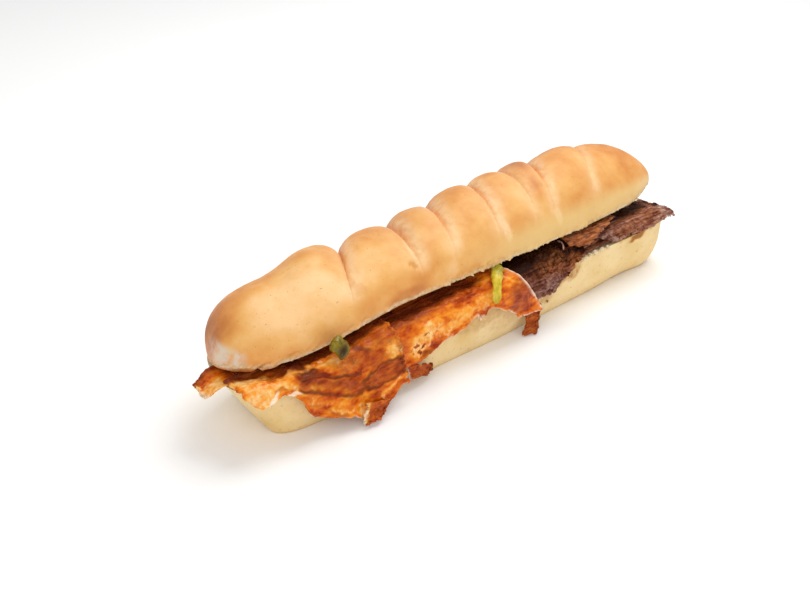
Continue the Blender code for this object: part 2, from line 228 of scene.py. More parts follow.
def thin_slice(name, middle, height, thickness, **masks):
    """A closed slice: its middle is a grid of points raised by a relief in millimetres, and both faces lie
    half a thickness off that and meet at a rounded edge."""
    middle = middle + outward(middle, wrapped=False) * (height * MM)[..., None]
    rows, columns = middle.shape[:2]
    normal = outward(middle, wrapped=False)
    across = np.minimum(np.arange(rows), np.arange(rows)[::-1])[:, None]
    down = np.minimum(np.arange(columns), np.arange(columns)[::-1])[None, :]
    to_edge = np.minimum(across, down) / 3
    half = (thickness / 2 * np.sqrt(np.clip(0.12 + to_edge * (2 - to_edge), 0.12, 1)))[..., None]
    verts = np.concatenate([(middle + normal * half).reshape(-1, 3), (middle - normal * half).reshape(-1, 3)])
    offset = rows * columns
    index = np.arange(offset).reshape(rows, columns)
    front = np.stack([index[:-1, :-1], index[1:, :-1], index[1:, 1:], index[:-1, 1:]], axis=-1).reshape(-1, 4)
    rim = np.concatenate([index[:-1, 0], index[-1, :-1], index[:0:-1, -1], index[0, :0:-1]])
    following = np.roll(rim, -1)
    sides = np.stack([following, rim, rim + offset, following + offset], axis=-1)
    faces = np.concatenate([front, front[:, ::-1] + offset, sides]).tolist()
    both = {}
    for mask, values in masks.items():
        both[mask] = np.tile(np.broadcast_to(values, (rows, columns)).ravel(), 2)
    return mesh_piece(name, verts, faces, both)


def ridges(points, size, octaves=3, stretch=(1, 1, 1), seed=0.0):
    """Sharp wrinkles of that size: 0.5 on a ridge, down to about -0.5 between them."""
    return 0.5 - 2 * np.abs(grain(points, size, octaves, stretch, seed))


def waver(points, size, amount):
    """x and z of points, pushed about so that marks drawn by them come out uneven."""
    x = points[..., 0] + amount * MM * grain(points, size * MM, 2, seed=3.0)
    z = points[..., 2] + amount * MM * grain(points, size * MM, 2, seed=9.0)
    return x, z


def blot(x, z, centre, radii, lean=0.0):
    """1 inside a soft oval patch and 0 outside; centre and radii in millimetres, lean in degrees."""
    angle = math.radians(lean)
    off_x, off_z = x - centre[0] * MM, z - centre[1] * MM
    along_x = off_x * math.cos(angle) + off_z * math.sin(angle)
    along_z = off_z * math.cos(angle) - off_x * math.sin(angle)
    return ease((1.35 - np.hypot(along_x / (radii[0] * MM), along_z / (radii[1] * MM))) / 0.7)


def off_line(x, z, line):
    """Distance in metres from a line of (x, z) points in millimetres."""
    best = np.full(np.broadcast(x, z).shape, 1.0)
    for (x0, z0), (x1, z1) in zip(line, line[1:]):
        run = np.array([x1 - x0, z1 - z0]) * MM
        t = np.clip(((x - x0 * MM) * run[0] + (z - z0 * MM) * run[1]) / (run @ run), 0, 1)
        best = np.minimum(best, np.hypot(x - x0 * MM - t * run[0], z - z0 * MM - t * run[1]))
    return best


def stroke(x, z, line, width):
    """1 on a line of (x, z) points in millimetres, fading to 0 at half its width."""
    return ease(1 - off_line(x, z, line) / (width * MM / 2))


def marks(x, z, blots, strokes=(), join=np.maximum.reduce):
    """The strongest, or the sum, of blots (strength, centre, radii, lean) and strokes (strength, line,
    width)."""
    drawn = [strength * blot(x, z, *shape) for strength, *shape in blots]
    drawn += [strength * stroke(x, z, *shape) for strength, *shape in strokes]
    return join(drawn)


# Materials


def feed(made, inputs):
    """Sets inputs of a node, each to a value, a hex colour or the output that feeds it."""
    for key, value in inputs.items():
        if isinstance(value, bpy.types.NodeSocket):
            made.id_data.links.new(value, made.inputs[key])
        else:
            made.inputs[key].default_value = srgb(value) if isinstance(value, str) else value


def node(tree, kind, inputs, out=0, stops=(), **settings):
    """Adds a node with its settings, inputs and colour stops, and gives one of its outputs."""
    made = tree.nodes.new("ShaderNode" + kind)
    for key, value in settings.items():
        setattr(made, key, value)
    feed(made, inputs)
    for _ in stops[2:]:
        made.color_ramp.elements.new(1.0)
    for index, (place, colour) in enumerate(stops):
        made.color_ramp.elements[index].position = place
        made.color_ramp.elements[index].color = srgb(colour)
    return made.outputs[out]


def finish(name, masks):
    """A new material, how to add nodes to it, its shader, the place on the piece and the piece's masks."""
    made = bpy.data.materials.new(name)
    made.use_nodes = True
    add = partial(node, made.node_tree)
    shader = made.node_tree.nodes["Principled BSDF"]
    place = add("TexCoord", {}, "Object")
    return made, add, shader, place, [add("Attribute", {}, "Fac", attribute_name=mask) for mask in masks]


def baked_dough(add, place, bake, mottle, drift, tones, specks):
    """Colour of a crust: its tone follows how hard it baked and the painted shade that shares its mask; it
    drifts a little, and specks lie over it.
    Each speck has its size in millimetres, other settings, the range that shows, its strength and colour."""
    uneven = add("MapRange", {0: mottle, 1: 0.3, 2: 0.7, 3: -drift, 4: drift})
    baked = add("Math", {0: bake, 1: uneven}, operation="ADD", use_clamp=True)
    skin = add("ValToRGB", {0: baked}, stops=tones)
    for size, settings, low, high, strength, colour in specks:
        pattern = add("TexNoise", {"Vector": place, "Scale": 1 / (size * MM), **settings})
        shown = add("MapRange", {0: pattern, 1: low, 2: high, 4: strength}, **SMOOTH)
        skin = add("Mix", {0: shown, 6: skin, 7: colour}, 2, data_type="RGBA")
    return skin


def opened_crumb(add, place, skin, crumb, tones, fine, lumps):
    """Adds the open crumb, where the bread was cut, to a crust's colour, and gives the relief of both.
    fine is a size and a depth in millimetres, lumps a pattern and its depth."""
    holes = add("TexNoise", {"Vector": place, "Scale": 1 / (2.2 * MM), "Detail": 3.0, "Roughness": 0.6})
    inside = add("ValToRGB", {0: holes}, stops=tones)
    skin = add("Mix", {0: crumb, 6: skin, 7: inside}, 2, data_type="RGBA")
    pores = add("Math", {0: holes, 1: crumb}, operation="MULTIPLY")
    wrinkles = add("TexNoise", {"Vector": place, "Scale": 1 / (fine[0] * MM), "Detail": 3.0})
    normal = add("Bump", {"Height": wrinkles, "Distance": fine[1] * MM})
    for height, depth in (lumps, (pores, 0.5)):
        normal = add("Bump", {"Height": height, "Distance": depth * MM, "Normal": normal})
    return skin, normal


def baked_crust():
    """Milk-washed wheat crust, oven baked: a smooth satin skin, peach where the dough stretched, brown where
    it stood nearest the heat, and open white crumb where it was cut. Painted shade adds to the browning at
    the left end and low on the front left of the middle."""
    masks = ("bake", "stretch", "flour", "dimple", "crumb", "cream")
    made, add, shader, place, (bake, stretch, flour, dimple, crumb, cream) = finish("baked_crust", masks)
    mottle = add("TexNoise", {"Vector": place, "Scale": 1 / (13 * MM), "Detail": 4.0, "Roughness": 0.55})
    tones = ((0.0, "#F6C68B"), (0.28, "#EAAF62"), (0.5, "#E0994C"), (0.75, "#C97A35"), (1.0, "#A45C22"))
    blister = (1.7, {}, 0.64, 0.76, 0.35, "#CF9450")
    charred = (1.2, {"Detail": 1.0, "Lacunarity": 2.7}, 0.745, 0.775, 0.7, "#8A5526")
    skin = baked_dough(add, place, bake, mottle, 0.14, tones, (blister, charred))
    thin = add("TexNoise", {"Vector": place, "Scale": 1 / (3 * MM), "Detail": 3.0})
    torn = add("MapRange", {0: thin, 1: 0.25, 2: 0.65, 3: 0.6}, **SMOOTH)
    pale = add("Math", {0: stretch, 1: torn}, operation="MULTIPLY")
    for share, colour in ((pale, "#FAD2A0"), (cream, "#ECC880"), (dimple, "#D08A34"), (flour, "#DED2C0")):
        skin = add("Mix", {0: share, 6: skin, 7: colour}, 2, data_type="RGBA")
    tones = ((0.35, "#D9B67C"), (0.6, "#F1DCB4"))
    skin, normal = opened_crumb(add, place, skin, crumb, tones, (0.7, 0.06), (thin, 0.22))
    gloss = add("MapRange", {0: mottle, 1: 0.3, 2: 0.7, 3: 0.4, 4: 0.55})
    dull = add("Math", {0: gloss, 1: crumb}, operation="MAXIMUM")
    feed(shader, {"IOR": 1.45, "Specular IOR Level": 0.4})
    feed(shader, {"Base Color": skin, "Roughness": dull, "Normal": normal})
    return made


def pale_crust():
    """The same dough where it lay in the tray: a cream wall, dull and faintly floured, with spots of meat
    juices soaked in and gold only where the rim caught the heat. Painted shade darkens the low left end, and
    the wall under the middle slice in the tan of the stains."""
    made, add, shader, place, (bake, juice, crumb) = finish("pale_crust", ("bake", "juice", "crumb"))
    mottle = add("TexNoise", {"Vector": place, "Scale": 1 / (16 * MM), "Detail": 5.0, "Roughness": 0.6})
    tones = ((0.0, "#F6DBA6"), (0.35, "#E8C686"), (0.7, "#D09C55"), (1.0, "#A4682C"))
    blister = (2.0, {"Detail": 3.0}, 0.6, 0.76, 0.4, "#CFA468")
    charred = (1.3, {"Detail": 1.0, "Lacunarity": 2.9}, 0.75, 0.78, 0.6, "#8F6233")
    skin = baked_dough(add, place, bake, mottle, 0.15, tones, (blister, charred))
    drops = add("TexNoise", {"Vector": place, "Scale": 1 / (2.6 * MM), "Detail": 4.0, "Roughness": 0.6})
    soaked = add("MapRange", {0: drops, 1: 0.36, 2: 0.6, 3: 0.5}, **SMOOTH)
    stained = add("Math", {0: juice, 1: soaked}, operation="MULTIPLY")
    skin = add("Mix", {0: stained, 6: skin, 7: "#BC8644"}, 2, data_type="RGBA")
    tones = ((0.35, "#DDBD88"), (0.6, "#F3E0BC"))
    skin, normal = opened_crumb(add, place, skin, crumb, tones, (0.8, 0.08), (drops, 0.2))
    feed(shader, {"IOR": 1.45, "Specular IOR Level": 0.25, "Roughness": 0.62})
    feed(shader, {"Base Color": skin, "Normal": normal})
    return made


def meat_colour(add, patterns, shades, layers):
    """Shades by a tone, the sum of patterns each with its share, under layers of a share and a colour."""
    tone = 0.0
    for pattern, share in patterns:
        tone = add("Math", {0: pattern, 1: share, 2: tone}, operation="MULTIPLY_ADD")
    meat = add("ValToRGB", {0: tone}, stops=shades)
    for share, colour in layers:
        meat = add("Mix", {0: share, 6: meat, 7: colour}, 2, data_type="RGBA")
    return meat


def spiced_turkey():
    """Turkey thigh shaved off the spit: moist and fibrous, orange with paprika and fat, cream where the meat
    tore, red-brown along its folds where the heat caught them. Its brown and near-black marks also carry
    painted shade under the lid, in grooves and between layers; painted highlights lighten one bulge and the
    top of the raised oval."""
    masks = ("pale", "sear", "fold", "rim")
    made, add, shader, place, (pale, sear, fold, rim) = finish("spiced_turkey", masks)
    grain_way = add("VectorMath", {0: place, 1: (3.5, 1.0, 1.5)}, operation="DIVIDE")
    fibres = add("TexNoise", {"Vector": grain_way, "Scale": 1 / (1.7 * MM), "Detail": 2.5, "Roughness": 0.55})
    muscle_way = add("VectorMath", {0: place, 1: (2.0, 1.0, 1.0)}, operation="DIVIDE")
    muscle = add("TexNoise", {"Vector": muscle_way, "Scale": 1 / (6 * MM), "Detail": 3.0})
    spice = add("TexNoise", {"Vector": place, "Scale": 1 / (1.8 * MM)})
    patterns = ((muscle, 0.6), (fibres, 0.28), (spice, 0.12), (pale, 0.22))
    shades = ((0.38, "#962E06"), (0.46, "#CA5608"), (0.54, "#E67812"), (0.62, "#F49A2C"), (0.74, "#FCC468"))
    broken = add("MapRange", {0: muscle, 1: 0.32, 2: 0.56, 3: 0.6}, **SMOOTH)
    seared = add("Math", {0: sear, 1: broken}, operation="MULTIPLY")
    brown = add("ValToRGB", {0: fibres}, stops=((0.35, "#8A300E"), (0.65, "#BE5A20")))
    torn = add("Math", {0: spice, 1: 1.2, 2: pale}, operation="MULTIPLY_ADD")
    bare = add("MapRange", {0: torn, 1: 0.95, 2: 1.75}, **SMOOTH)
    flesh = add("ValToRGB", {0: spice}, stops=((0.35, "#EE9C44"), (0.62, "#FBD08C")))
    crevice = add("Math", {0: fold, 1: broken}, operation="MULTIPLY")
    layers = ((seared, brown), (bare, flesh), (crevice, "#521A08"), (rim, "#F8DFC2"))
    meat = meat_colour(add, patterns, shades, layers)
    wet = add("MapRange", {0: muscle, 1: 0.3, 2: 0.7, 3: 0.22, 4: 0.45})
    normal = add("Bump", {"Height": fibres, "Distance": 0.3 * MM})
    normal = add("Bump", {"Height": spice, "Distance": 0.3 * MM, "Normal": normal})
    feed(shader, {"IOR": 1.4, "Specular IOR Level": 0.22})
    feed(shader, {"Base Color": meat, "Roughness": wet, "Normal": normal})
    return made


def roast_beef():
    """Beef shaved off the spit: a dry dark crust from the heat over purple-brown muscle, with grey fat and
    reddish grain. Its near-black colour is painted shade where it goes under the lid, and its light mask also
    carries painted light and shade.
    """
    made, add, shader, place, (light, red, fold) = finish("roast_beef", ("light", "red", "fold"))
    grain_way = add("VectorMath", {0: place, 1: (6.0, 1.0, 1.4)}, operation="DIVIDE")
    fibres = add("TexNoise", {"Vector": grain_way, "Scale": 1 / (1.3 * MM), "Detail": 3.0, "Roughness": 0.6})
    lumps = add("TexNoise", {"Vector": place, "Scale": 1 / (3.4 * MM), "Detail": 4.0, "Roughness": 0.58})
    patterns = ((lumps, 0.42), (fibres, 0.58), (light, 0.15))
    shades = ((0.38, "#2A0F06"), (0.46, "#5A2A14"), (0.54, "#764638"), (0.64, "#966C5E"), (0.78, "#C0A498"))
    patchy = add("MapRange", {0: lumps, 1: 0.35, 2: 0.6, 3: 0.2}, **SMOOTH)
    reddish = add("Math", {0: red, 1: patchy}, operation="MULTIPLY")
    rare = add("ValToRGB", {0: fibres}, stops=((0.35, "#7A3412"), (0.65, "#C98048")))
    # the near-black layer is painted shade under the lid
    meat = meat_colour(add, patterns, shades, ((reddish, rare), (fold, "#260C04")))
    moist = add("MapRange", {0: lumps, 1: 0.3, 2: 0.7, 3: 0.4, 4: 0.65})
    normal = add("Bump", {"Height": fibres, "Distance": 0.5 * MM})
    normal = add("Bump", {"Height": lumps, "Distance": 0.6 * MM, "Normal": normal})
    feed(shader, {"IOR": 1.4, "Specular IOR Level": 0.09})
    feed(shader, {"Base Color": meat, "Roughness": moist, "Normal": normal})
    return made


def pickled_chilli(name, flesh, shade, deep):
    """Green chilli pickled in vinegar: waxy translucent skin gone yellow, wet enough to mirror the lamp."""
    made, add, shader, place, (hollow,) = finish(name, ("hollow",))
    streak_way = add("VectorMath", {0: place, 1: (1.0, 1.0, 2.5)}, operation="DIVIDE")
    streaks = add("TexNoise", {"Vector": streak_way, "Scale": 1 / (2.0 * MM), "Detail": 3.0})
    skin = add("ValToRGB", {0: streaks}, stops=((0.35, shade), (0.62, flesh)))
    skin = add("Mix", {0: hollow, 6: skin, 7: deep}, 2, data_type="RGBA")
    normal = add("Bump", {"Height": streaks, "Distance": 0.25 * MM})
    feed(shader, {"IOR": 1.42, "Roughness": 0.24, "Specular IOR Level": 0.35, "Base Color": skin})
    feed(shader, {"Coat Weight": 0.12, "Coat Roughness": 0.1, "Normal": normal})
    feed(shader, {"Subsurface Weight": 0.12, "Subsurface Scale": 2 * MM})
    return made


def connective_tissue():
    """Sinew pulled out of the beef: a pale elastic strand, moist and a little pink."""
    made, add, shader, place, _ = finish("connective_tissue", ())
    tone = add("TexNoise", {"Vector": place, "Scale": 1 / MM})
    skin = add("ValToRGB", {0: tone}, stops=((0.35, "#7C5545"), (0.62, "#B48E7C")))
    feed(shader, {"IOR": 1.4, "Roughness": 0.35, "Base Color": skin})
    return made


# Roll


def crease_line(x):
    """Depth of the skin below the lobes, lean of the ring and nearness to a crease, at places along X."""
    folds = [(LID_START, 0.0, 0.0), *CREASES, (LID_END, 0.0, 0.0)]
    sunk = np.zeros_like(x)
    for left, right in zip(folds, folds[1:]):
        inside = (x >= left[0]) & (x <= right[0])
        across = share_between(x, left[0], right[0])
        dome = np.maximum(0.0, 1 - np.abs(across) ** 2.3) ** 0.5
        sunk = np.where(inside, np.where(across < 0, left[1], right[1]) * (1 - dome), sunk)
    place, depth, width = SOFT_DIP
    sunk = sunk + depth * bell((x - place) / width)
    near = np.zeros_like(x)
    for place, depth, _ in CREASES:
        near = np.maximum(near, np.exp(-np.abs((x - place) / 0.004)) * min(1.0, depth / 0.005))
    return sunk, along(x, [(fold[0], fold[2]) for fold in folds]), near


def lid_stations(count):
    """Rings, closer together at the creases and the ends."""
    fine = np.linspace(LID_START, LID_END, 4000)
    density = 1.0 + 5 * np.exp(-np.minimum(fine - LID_START, LID_END - fine) / 0.004)
    for place, _, _ in CREASES:
        density += 1.6 * bell((fine - place) / 0.004)
    travelled = np.concatenate([[0], np.cumsum((density[1:] + density[:-1]) / 2)])
    return np.interp(np.linspace(0, travelled[-1], count), travelled, fine)


def roll_lid():
    station = lid_stations(430)[:, None]
    turn = (np.arange(200) / 200)[None, :]
    share = share_between(station, LID_START, LID_END)
    width = LID_HALF_WIDTH * rounded(share, np.where(share < 0, *LID_BLUNTNESS), 2.4)
    height = along(station, DOME) * rounded(share, 9.0, 2.4)
    bulge = LID_BULGE_HEIGHT * np.minimum(1.0, height / 0.02)
    radius = np.maximum(1e-6, height - bulge)
    low = np.where(height > 0.002, np.arcsin(np.minimum(0.9, bulge / radius)), 0.0)
    sunk, lean, near = crease_line(station)
    on_dome = turn < DOME_SHARE
    angle = -low + (math.pi + 2 * low) * turn / DOME_SHARE
    degrees = np.degrees(angle)
    fade = ease(degrees / 80) * (1 - 0.5 * ease((degrees - 130) / 50))
    shrink = 1 - sunk * fade / np.maximum(radius, 0.01)
    dome_across = -np.cos(angle) * mix(1, shrink, 0.8)
    dome_up = bulge + radius * np.sin(angle) * np.where(angle > 0, shrink, 1.0)
    face_share = (turn - DOME_SHARE) / (1 - DOME_SHARE)
    across = np.where(on_dome, dome_across, np.cos(low) * np.cos(math.pi * face_share))
    up = np.where(on_dome, dome_up, 0.0)
    y = width * across * math.cos(LID_TILT) + up * math.sin(LID_TILT)
    x = station + lean * across + LID_SKEW * y * np.maximum(0.0, -share) ** 7
    centre = along(x, LID_EDGE) - LID_HALF_WIDTH * math.sin(LID_TILT)
    z = centre + up * math.cos(LID_TILT) - width * across * math.sin(LID_TILT)
    points = stack(x, LID_SHIFT + y, z)

    normal = outward(points, wrapped=True)
    x, y, z = points[..., 0], points[..., 1], points[..., 2]
    front = ease((0.012 - y) / 0.016)
    facing = front * on_dome
    skin = ease((degrees + 25) / 30) * ease((205 - degrees) / 30) * on_dome
    lumps = grain(points, 0.022, 2) * 0.6 * MM + grain(points, 0.006, 2) * 0.15 * MM
    wrinkles = grain(points, 0.0016, 2, stretch=(1, 6, 6)) * 0.35 * MM * near * ease((degrees - 20) / 30)
    seam = -0.8 * MM * near**6 * ease((degrees - 55) / 40)
    pits = 0.6 * MM * front * blot(x, z, (-49.9, 59), (2.6, 1.3), -35)
    torn = (grain(points, 0.0022, 3) * 0.9 + grain(points, 0.007, 2) * 0.8) * MM
    torn = torn * bell((degrees + 17) / 6) * on_dome * (1 + 1.3 * bell((x + 0.012) / 0.016))
    notch = -2.2 * MM * blot(x, z, (-137.5, 37), (1, 3), -25) * facing
    points = points + normal * ((lumps + wrinkles + seam - pits) * skin + torn + notch)[..., None]
    points[..., 2] -= 1.6 * MM * blot(x, z, (-139, 38), (9, 6)) * ease((14 - degrees) / 24) * facing

    spots = marks(x, z, (
        (-0.2, (-112, 58), (26, 14)), (0.12, (122, 68), (11, 8)), (0.24, (-58, 46), (12, 5)),
        (-0.22, (-33, 50), (9, 6)), (0.12, (75, 58), (22, 8)), (0.14, (24, 57), (10, 8)),
    ), join=sum)
    bake = (
        0.24 + 0.12 * grain(points, 0.03, 2) + spots * front + 0.2 * ease((degrees - 60) / 45)
        + 0.1 * ease((x + 0.075) / 0.03) + 0.12 * ease((x - 0.1) / 0.012) + 0.12 * ease((x - 0.125) / 0.02)
        # browner at the left end: partly from baking, partly painted shade
        + 0.48 * ease((-0.127 - x) / 0.02) * ease((degrees - 30) / 45)
        + 0.27 * bell((station - 0.0475) / 0.0055) * ease((degrees - 25) / 30)
        # browner low on the front, left of the middle: partly from baking, partly painted shade
        + 0.2 * ease((35 - degrees) / 30) * ease((-0.018 - x) / 0.02)
    )
    soft = sum(bell((station - place - 0.0022) / 0.0042) for place, _, _ in CREASES if place != PLAIN_CREASE)
    stretch = np.maximum(0.8 * near, 0.75 * soft) * ease((degrees - 5) / 25) * on_dome
    stretch = stretch * (1 - 0.75 * ease((degrees - 95) / 40)) * (1 - 0.45 * ease((x - 0.08) / 0.008))
    pulled = marks(x, z, (
        (0.8, (47.5, 57), (2.2, 5.5), 12), (0.9, (10, 60), (2.6, 6.5), 10), (0.8, (-44.5, 61.5), (3.5, 3)),
    ))
    flour = 0.8 * blot(x, z, (-150, 41), (7, 5), 20) * ease((y + 0.024) / 0.008)
    dimples = ((0.7, (-49.9, 59), (2.4, 1.2), -35), (0.315, (-81.8, 57), (3, 2.2)))
    return closed_skin(
        "lid_crust", points,
        bake=np.clip(bake, 0, 1),
        stretch=np.maximum(stretch, pulled * front),
        flour=flour * facing * ease(0.8 + 0.7 * grain(points, 0.005, 3, seed=7.0)),
        dimple=marks(*waver(points, 3, 1.2), dimples) * facing,
        cream=0.75 * ease((24 - degrees) / 22) * ease((x + 0.03) / 0.06) * on_dome,
        crumb=np.where(on_dome, 0.9 * bell((degrees + 20) / 5), 1.0),
    )


def base_width(x):
    share = share_between(x, BASE_START, BASE_END)
    return BASE_HALF_WIDTH * rounded(share, np.where(share < 0, *BASE_BLUNTNESS), 2.5)


def roll_base():
    x = spread(BASE_START, BASE_END, 300)[:, None]
    share = share_between(x, BASE_START, BASE_END)
    width = base_width(x)
    depth = BASE_HEIGHT * np.minimum(1.0, 1.03 * rounded(share, np.where(share < 0, *BASE_CORNER), 2.5))
    wall_steps = np.arcsin(np.linspace(0, 1, 49) ** (1 / BASE_WALL_CURVE))
    face_steps = np.linspace(0, math.pi, 50)
    angle = np.concatenate([face_steps, math.pi + wall_steps[1:], math.tau - wall_steps[-2:0:-1]])[None, :]
    across, down = np.cos(angle), np.maximum(0.0, -np.sin(angle))
    top = angle <= math.pi
    y = width * np.where(top, across, np.copysign(np.abs(across) ** along(x, BASE_ROUNDING), across))
    wall = np.maximum(BASE_HEIGHT - depth, BASE_HEIGHT - BASE_UNDERCUT * depth * down**BASE_WALL_CURVE)
    z = np.where(top, BASE_HEIGHT - BASE_FACE_DIP * np.sin(angle) ** 2, wall)
    tuck = np.where(x > 0, TUCK_RIGHT, TUCK_LEFT)
    tucked = x * (1 - tuck * (1 - z / BASE_HEIGHT) * share**4)
    points = stack(tucked + BASE_SKEW * y * np.maximum(0.0, -share) ** 7, y, z)

    normal = -outward(points, wrapped=True)
    side = ease(points[..., 2] / 0.006) * (~top)
    lumps = grain(points, 0.02, 2) * 0.45 * MM + grain(points, 0.005, 2) * 0.12 * MM
    points = points + normal * (lumps * side - 0.3 * MM * side)[..., None]
    (x, z), y = waver(points, 5, 1.6), points[..., 1]
    bake = (
        0.14 + 0.1 * grain(points, 0.03, 2) + 0.18 * ease((0.003 - z) / 0.003)
        # darker low on the left end: painted shade
        + 0.2 * ease((-0.12 - x) / 0.02) * ease((0.022 - z) / 0.02)
        + 0.12 * blot(x, z, (5, 22), (30, 7)) + 0.1 * ease((x - 0.085) / 0.02)
    )
    gold = 0.85 * blot(x, z, (111, 26.8), (7, 2.2), 3) + 0.4 * stroke(x, z, ((94, 28.6), (126, 28.4)), 3)
    # Meat juices soaked into the wall; the blot at (-12, 18) is painted shade in the same tan under the
    # middle slice
    juice = marks(x, z, (
        (1.0, (57, 23.5), (6, 4.5), 20), (0.9, (47, 20.5), (6, 3), 20), (0.6, (37, 13), (5, 4)),
        (0.5, (-12, 18), (18, 5)), (0.3, (4, 12), (10, 5)),
    ))
    return closed_skin(
        "base_crust", points,
        bake=np.clip(bake + gold * (y < 0), 0, 1),
        juice=juice * (y < 0),
        crumb=top * ease((width - np.abs(y)) / 0.002),
    )


# Filling


def shoulder(x):
    """Where the filling turns down at the front: (y, height, radius)."""
    top = along(x, PLATEAU)
    radius = np.maximum(0.0035, top - BASE_HEIGHT + 0.0012)
    return -(along(x, RIM) + WALL_GAP) + radius, top, radius


def rim_height(x, y):
    """Height of the filling's upper side under the slices that hang out at the front."""
    start, top, radius = shoulder(x)
    reach = np.clip((start - y) / radius, 0, 0.95)
    flat = top - math.tan(LID_TILT) * (y - start)
    return np.where(y >= start, flat, top - radius * (1 - np.sqrt(1 - reach * reach)))


def lid_plane(x, y):
    return along(x, LID_EDGE) - math.tan(LID_TILT) * (y - LID_SHIFT + LID_HALF_WIDTH)


def pile(name, ends):
    """The slices inside, one above the other: their edges show as layers at the back and under the lid."""
    start, end = ends
    x = spread(start, end, 260)[:, None]
    turn = (np.arange(90) / 90)[None, :]
    share = share_between(x, start, end)
    width = base_width(x)
    wave = 0.001 * np.sin(x * 210) + 0.0008 * np.sin(x * 97 + 1.0)
    front, back = 0.0012 - width, width + 0.0012 + wave
    angle = math.tau * turn
    reach = np.cos(angle) * np.maximum(0.02, rounded(share, 14.0, 2.0))
    y = mix(front, back, (1 + reach) / 2)
    floor = BASE_HEIGHT + LAYER_GAP
    under_lid = lid_plane(x, y) - LAYER_GAP
    under_slices = rim_height(x, y) - LAYER_GAP
    inner = ease((y + 0.006) / 0.008) * (1 - ease((np.abs(x) - 0.122) / 0.012))
    ceiling = np.maximum(floor + 0.0006, np.minimum(under_lid, mix(under_slices, under_lid, inner)))
    height = np.copysign(np.abs(np.sin(angle)) ** 0.5, np.sin(angle)) * rounded(share, 24.0, 2.0)
    z = mix(floor, ceiling, (1 + height) / 2)
    points = stack(x, y, z)
    layers = np.sin((z + grain(points, 0.03, 2) * 0.0012) * math.tau / 0.0026 + 3 * np.sin(x * 40))
    edge = ease((np.abs(reach) - 0.75) / 0.2)
    points[..., 1] += np.sign(reach) * edge * (0.0007 * layers + 0.001 * grain(points, 0.007, 3))
    return closed_skin(
        name, points,
        # dark where the layers sink back between each other at the edges: painted shade
        fold=0.7 * edge * ease((-layers - 0.3) / 0.6),
        sear=0.6 + 0.3 * layers,
        pale=0.25 * edge * ease(layers),
        rim=0.0,
        light=0.3 * layers * edge,
        red=0.3,
    )


def draped(x, s, lift, bend):
    """Points at arc length s on a path over the filling's shoulder, lifted off it, that ends at a slope."""
    y, z, radius = shoulder(x)
    radius = radius + lift
    z = z + lift
    turned = np.clip(s / radius, 0, bend + LID_TILT)
    slope = turned - LID_TILT
    rest = np.where(s < 0, s, s - turned * radius)
    y = y - radius * (np.sin(slope) + math.sin(LID_TILT)) - rest * np.cos(slope)
    z = z - radius * (math.cos(LID_TILT) - np.cos(slope)) - rest * np.sin(slope)
    return stack(x, y, z)


def reach_to(x, height, lift, bend):
    """Arc length at which the draped path comes down to a height."""
    _, z, radius = shoulder(x)
    radius = radius + lift
    drop = z + lift - height
    turn_drop = radius * (math.cos(LID_TILT) - np.cos(bend))
    straight = radius * (bend + LID_TILT) + (drop - turn_drop) / np.sin(bend)
    curved = radius * (np.arccos(np.clip(math.cos(LID_TILT) - drop / radius, -1, 1)) + LID_TILT)
    return np.where(drop > turn_drop, straight, curved)


def drape(cells, thickness, left, right, inner, outer, lift, bend, ripple=0.0, fringe=()):
    """Middle surface of a slice over the shoulder, as a grid, and the grid's own u and v."""
    u, v = grid(cells[0] + 1, cells[1] + 1)
    x = mix(mix(left[0], left[1], v), mix(right[0], right[1], v), u)
    off = along(x, lift) + thickness / 2
    off = off + ripple * ease(v * 1.6) * (0.5 - 0.5 * np.cos(x * 330))
    slope = np.radians(along(x, bend))
    edge = along(x, outer) + 0.0009 * grain(stack(x, 0, 0), 0.0055, 3)
    for place, drop in fringe:
        edge = edge - drop * MM * bell((x - place * MM) / 0.0006)
    end = reach_to(x, edge, off, slope)
    return draped(x, mix(inner, end, v), off, slope), u, v


def cut_edge(points, v, width):
    """1 along a slice's outer edge, fading over a width in metres."""
    length = np.linalg.norm(np.diff(points, axis=1), axis=2).sum(axis=1)[:, None]
    return ease(1 - (1 - v) * length / width)


def torn_sides(points, u, left, right):
    """Moves the ends of a slice in and out along X, by up to about those amounts in millimetres."""
    jag = grain(stack(0, points[..., 1], points[..., 2]), 0.003, 3)
    points[..., 0] += jag * MM * (left * ease(1 - u / 0.06) + right * ease((u - 0.94) / 0.06))
    return points


